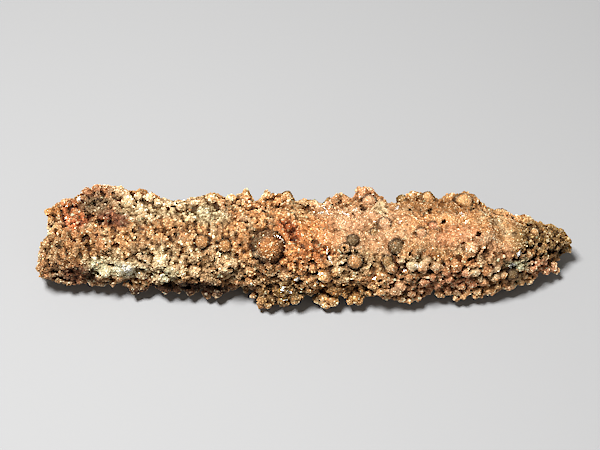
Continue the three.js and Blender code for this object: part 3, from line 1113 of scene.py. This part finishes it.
def add_piece(name, mesh):
    """A piece that stands for the solid, with the copper finish."""
    mesh.materials.append(copper)
    piece = bpy.data.objects.new(name, mesh)
    bpy.context.scene.collection.objects.link(piece)
    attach(piece, "root")
    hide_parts("native_copper")


# Crust
crust_points, crust_normals, crust_triangles = mesh_arrays(crust_mesh())
crust_rise = rise_over_skin(crust_points)
crust_points = trimmed(crust_points)
crust_hollow = hollowness(crust_points, crust_normals)
crust_points -= TO_VIEWER * (HOLLOW_DEPTH * crust_hollow)[:, None]
crust_points[:, 2] = np.maximum(crust_points[:, 2], CRUST_GAP)
crust_out = standing_out(crust_points, crust_normals, crust_triangles, PIT_ROUNDS)
# Painted shade: the crust is darker in crevices under the skin, in pits and in the hollows, and less dark
# in the fine zones
crust_light = smooth(crust_rise, -CREVICE_DEPTH, OPEN_RISE) * smooth(crust_out, -PIT_DEPTH, BUMP_RISE)
crust_light = 1 - (1 - crust_light) * (1 - FINE_LIGHT * in_fine_zones(crust_points, crust_normals))
crust_light = CREVICE_SHADE + (1 - CREVICE_SHADE) * crust_light * (1 - crust_hollow)
crust_tints = tints(crust_points, crust_normals)


def shaded(colours, light):
    """Colours in a painted light from 0 to 1, browner where it is low."""
    return colours * light[:, None] ** np.array(SHADE_TINT)


def lay_crust():
    """Adds the crust, cut across its length into pieces."""
    colours = shaded(crust_tints, CRUST_SHADE * crust_light)
    order = np.argsort(crust_points[crust_triangles, 0].mean(axis=1))
    for part, members in enumerate(np.array_split(order, CRUST_PIECES)):
        name = f"copper_crust_{part + 1}"
        used, corners = np.unique(crust_triangles[members], return_inverse=True)
        mesh = mesh_from(name, crust_points[used], corners.reshape(-1, 3), False)
        set_colours(mesh, colours[used])
        add_piece(name, mesh)


lay_crust()


def grain_places():
    """The grains' places and normals, the light and colours there, their radii and their fineness."""
    values = crust_points, crust_normals, crust_light, crust_tints
    places, normals, light, colours = strewn(crust_triangles, GRAIN_TRIES, *values)
    open_air = light > GRAIN_SHADE
    places, normals, light, colours = (value[open_air] for value in (places, normals, light, colours))
    normals = unit(normals)
    fine = fineness(places, normals)
    small, large = GRAIN_RADIUS
    radius = (small + (large - small) * rng.beta(*GRAIN_SPREAD, len(places))) * (1 - FINE_SHRINK * fine)
    sparse = smooth(-normals[:, 2], *UNDER_FACING) * (1 - smooth(places[:, 2], *SPARSE_HEIGHT))
    chosen = spread(places, GRAIN_CROWDING * (1 + sparse) * radius, rng.permutation(len(places)))
    return [value[chosen] for value in (places, normals, light, colours, radius, fine)]


def grain_colours(places, normals, light, colours):
    """The grains' colours in their painted light, which both vary from grain to grain."""
    fine = in_fine_zones(places, normals)
    for name, odds, more_odds, strength in GRAIN_COLOURS:
        picked = rng.random(len(places)) < odds + more_odds * fine
        shown = np.clip(colours[picked].max(axis=1) / PALE, LEAST_SHOWN, 1)[:, None]
        colours[picked] += (linear(name) - colours[picked]) * (strength * shown)
    # White flecks: partly white crystals, partly painted highlights
    white = flecked(places, normals)
    colours[white] = linear("white")
    light[white] = FLECK_AND_GLINT_LIGHT
    variation = np.clip(rng.lognormal(0, LIGHT_SPREAD, len(places)), *LIGHT_LIMITS)
    return shaded(colours, light * variation)


def grown(form, places, normals, radius, sink):
    """Grains of a form: their points, grain by grain, and how far each points outwards."""
    count = len(places)
    ragged = rng.normal(1, GRAIN_RAGGED, (count, len(form), 1))
    grains = form[None] * ragged * rng.uniform(*GRAIN_STRETCH, (count, 1, 3))
    grains = np.einsum("nij,nkj->nki", turns(count), grains)
    outward = np.einsum("nki,ni->nk", grains, normals)
    centres = places - normals * (sink * radius)[:, None]
    grains = grains * radius[:, None, None] + centres[:, None]
    grains[:, :, 2] = np.maximum(grains[:, :, 2], GRAIN_GAP)
    return grains, outward


def lay_grains():
    """Adds the grains, as one piece for each stretch of the length."""
    places, normals, light, colours, radius, fine = grain_places()
    colours = grain_colours(places, normals, light, colours)
    forms = [(radius > ROUND_GRAIN, *ball(1)), (radius <= ROUND_GRAIN, *octahedron())]
    order = np.argsort(places[:, 0])
    for part, members in enumerate(np.array_split(order, GRAIN_PIECES)):
        name = f"copper_grains_{part + 1}"
        points = np.empty((0, 3))
        triangles = np.empty((0, 3), int)
        point_colours = np.empty((0, 3))
        for fits, form, faces in forms:
            own = members[fits[members]]
            sink = GRAIN_SINK + FINE_SINK * fine[own]
            grains, outward = grown(form, places[own], normals[own], radius[own], sink)
            starts = len(points) + np.arange(len(own))[:, None, None] * len(form)
            points = np.concatenate([points, grains.reshape(-1, 3)])
            triangles = np.concatenate([triangles, (faces[None] + starts).reshape(-1, 3)])
            # Painted light and shade: a grain's outer tip is lighter, its base darker
            tip_light = np.clip(MIDDLE_LIGHT + TIP_LIGHT * outward, *TIP_LIMITS)
            own_colours = colours[own][:, None] * tip_light[:, :, None]
            point_colours = np.concatenate([point_colours, own_colours.reshape(-1, 3)])
        mesh = mesh_from(name, points, triangles, False)
        set_colours(mesh, np.clip(point_colours, 0, LIGHTEST))
        add_piece(name, mesh)


lay_grains()


# Floor and light
def add_floor():
    mesh = bpy.data.meshes.new("floor")
    corners = [(FLOOR_HALF * x, FLOOR_HALF * y, 0) for x, y in ((-1, -1), (1, -1), (1, 1), (-1, 1))]
    mesh.from_pydata(corners, [], [(0, 1, 2, 3)])
    material = bpy.data.materials.new("floor")
    material.use_nodes = True
    shader = material.node_tree.nodes["Principled BSDF"]
    shader.inputs["Base Color"].default_value = FLOOR_COLOUR
    shader.inputs["Roughness"].default_value = FLOOR_ROUGHNESS
    mesh.materials.append(material)
    floor = bpy.data.objects.new("floor", mesh)
    bpy.context.scene.collection.objects.link(floor)


def add_light(name, place, side, power):
    """A square light that shines at the middle of the floor."""
    data = bpy.data.lights.new(name, "AREA")
    data.size = side
    data.energy = power
    light = bpy.data.objects.new(name, data)
    light.location = place
    light.rotation_euler = Vector(place).to_track_quat("Z", "Y").to_euler()
    bpy.context.scene.collection.objects.link(light)


add_floor()
for values in LIGHTS:
    add_light(*values)

world = bpy.data.worlds.new("studio")
world.use_nodes = True
world.node_tree.nodes["Background"].inputs["Color"].default_value = WORLD_COLOUR
world.node_tree.nodes["Background"].inputs["Strength"].default_value = WORLD_STRENGTH
bpy.context.scene.world = world
bpy.context.scene.view_settings.view_transform = "Standard"


def crispen(share):
    """A share of sharpening, as in the reference."""
    scene = bpy.context.scene
    scene.use_nodes = True
    nodes, links = scene.node_tree.nodes, scene.node_tree.links
    nodes.clear()
    layers = nodes.new("CompositorNodeRLayers")
    sharpen = nodes.new("CompositorNodeFilter")
    sharpen.filter_type = "SHARPEN_DIAMOND"
    sharpen.inputs["Fac"].default_value = share
    finished = nodes.new("CompositorNodeComposite")
    links.new(layers.outputs["Image"], sharpen.inputs["Image"])
    links.new(sharpen.outputs["Image"], finished.inputs["Image"])


crispen(SHARPENING)
